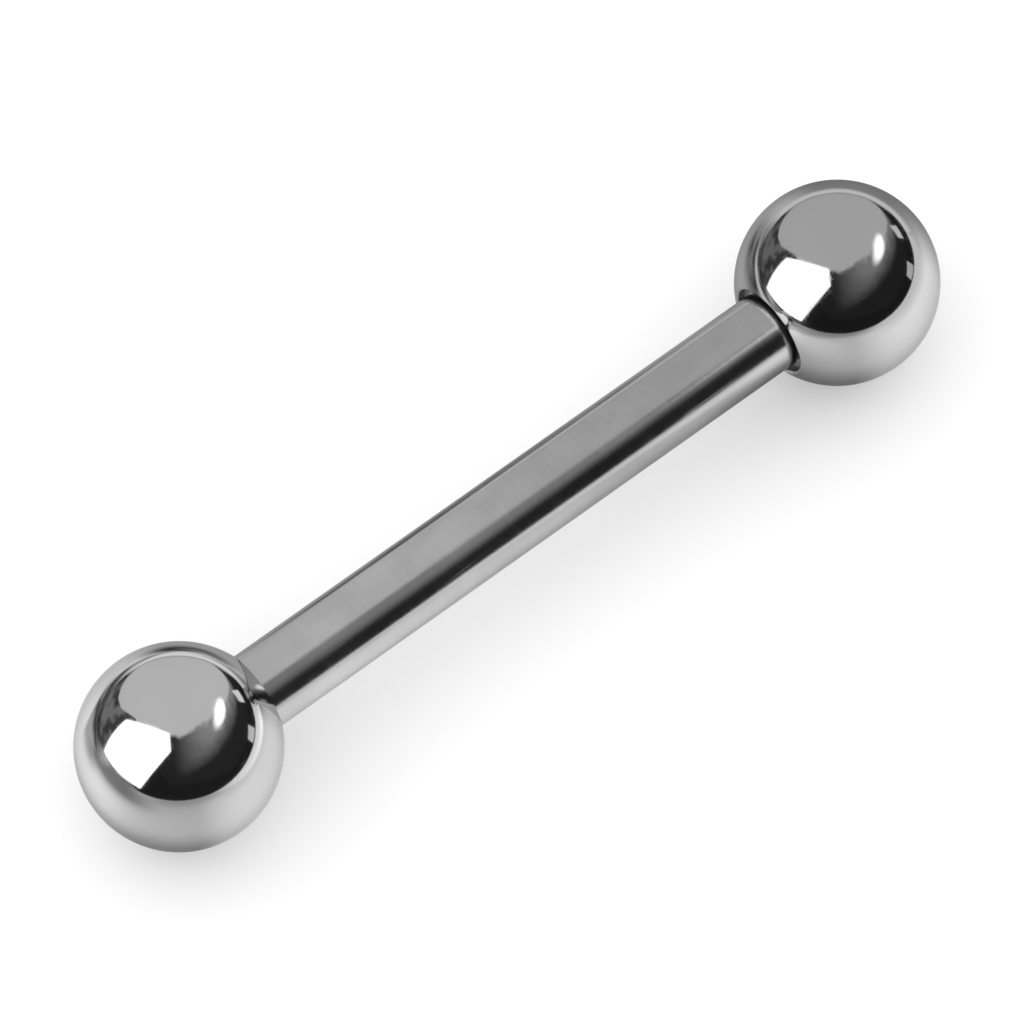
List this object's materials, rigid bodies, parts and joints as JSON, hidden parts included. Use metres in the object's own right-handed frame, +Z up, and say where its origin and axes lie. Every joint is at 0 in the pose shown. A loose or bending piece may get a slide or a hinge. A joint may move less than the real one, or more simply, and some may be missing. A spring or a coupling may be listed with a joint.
{
  "type": "straight piercing barbell",
  "caption": "Straight round post held in a piercing by a polished ball at each end; the balls screw off so that it can be passed through.",
  "frame": {"origin": "on the surface that it lies on, below the middle of the post", "axes": "+X along the post towards ball_right, +Z up, away from the surface that both balls rest on"},
  "size_m": [0.0202, 0.004, 0.004],
  "materials": {
    "post_steel": "polished stainless steel, faint turning marks round it",
    "ball_steel": "mirror polished stainless steel",
    "thread_steel": "bright cut stainless steel thread"
  },
  "bodies": {
    "post": {"post": "post_steel"},
    "end_left": {"ball_left": "ball_steel", "stud_left": "thread_steel"},
    "end_right": {"ball_right": "ball_steel", "stud_right": "thread_steel"}
  },
  "joints": [
    {"name": "ball_left_off", "type": "slide", "parent": "post", "child": "end_left", "axis": [-1, 0, 0], "range_m": [0, 0.016]},
    {"name": "ball_right_off", "type": "slide", "parent": "post", "child": "end_right", "axis": [1, 0, 0], "range_m": [0, 0.016]}
  ]
}
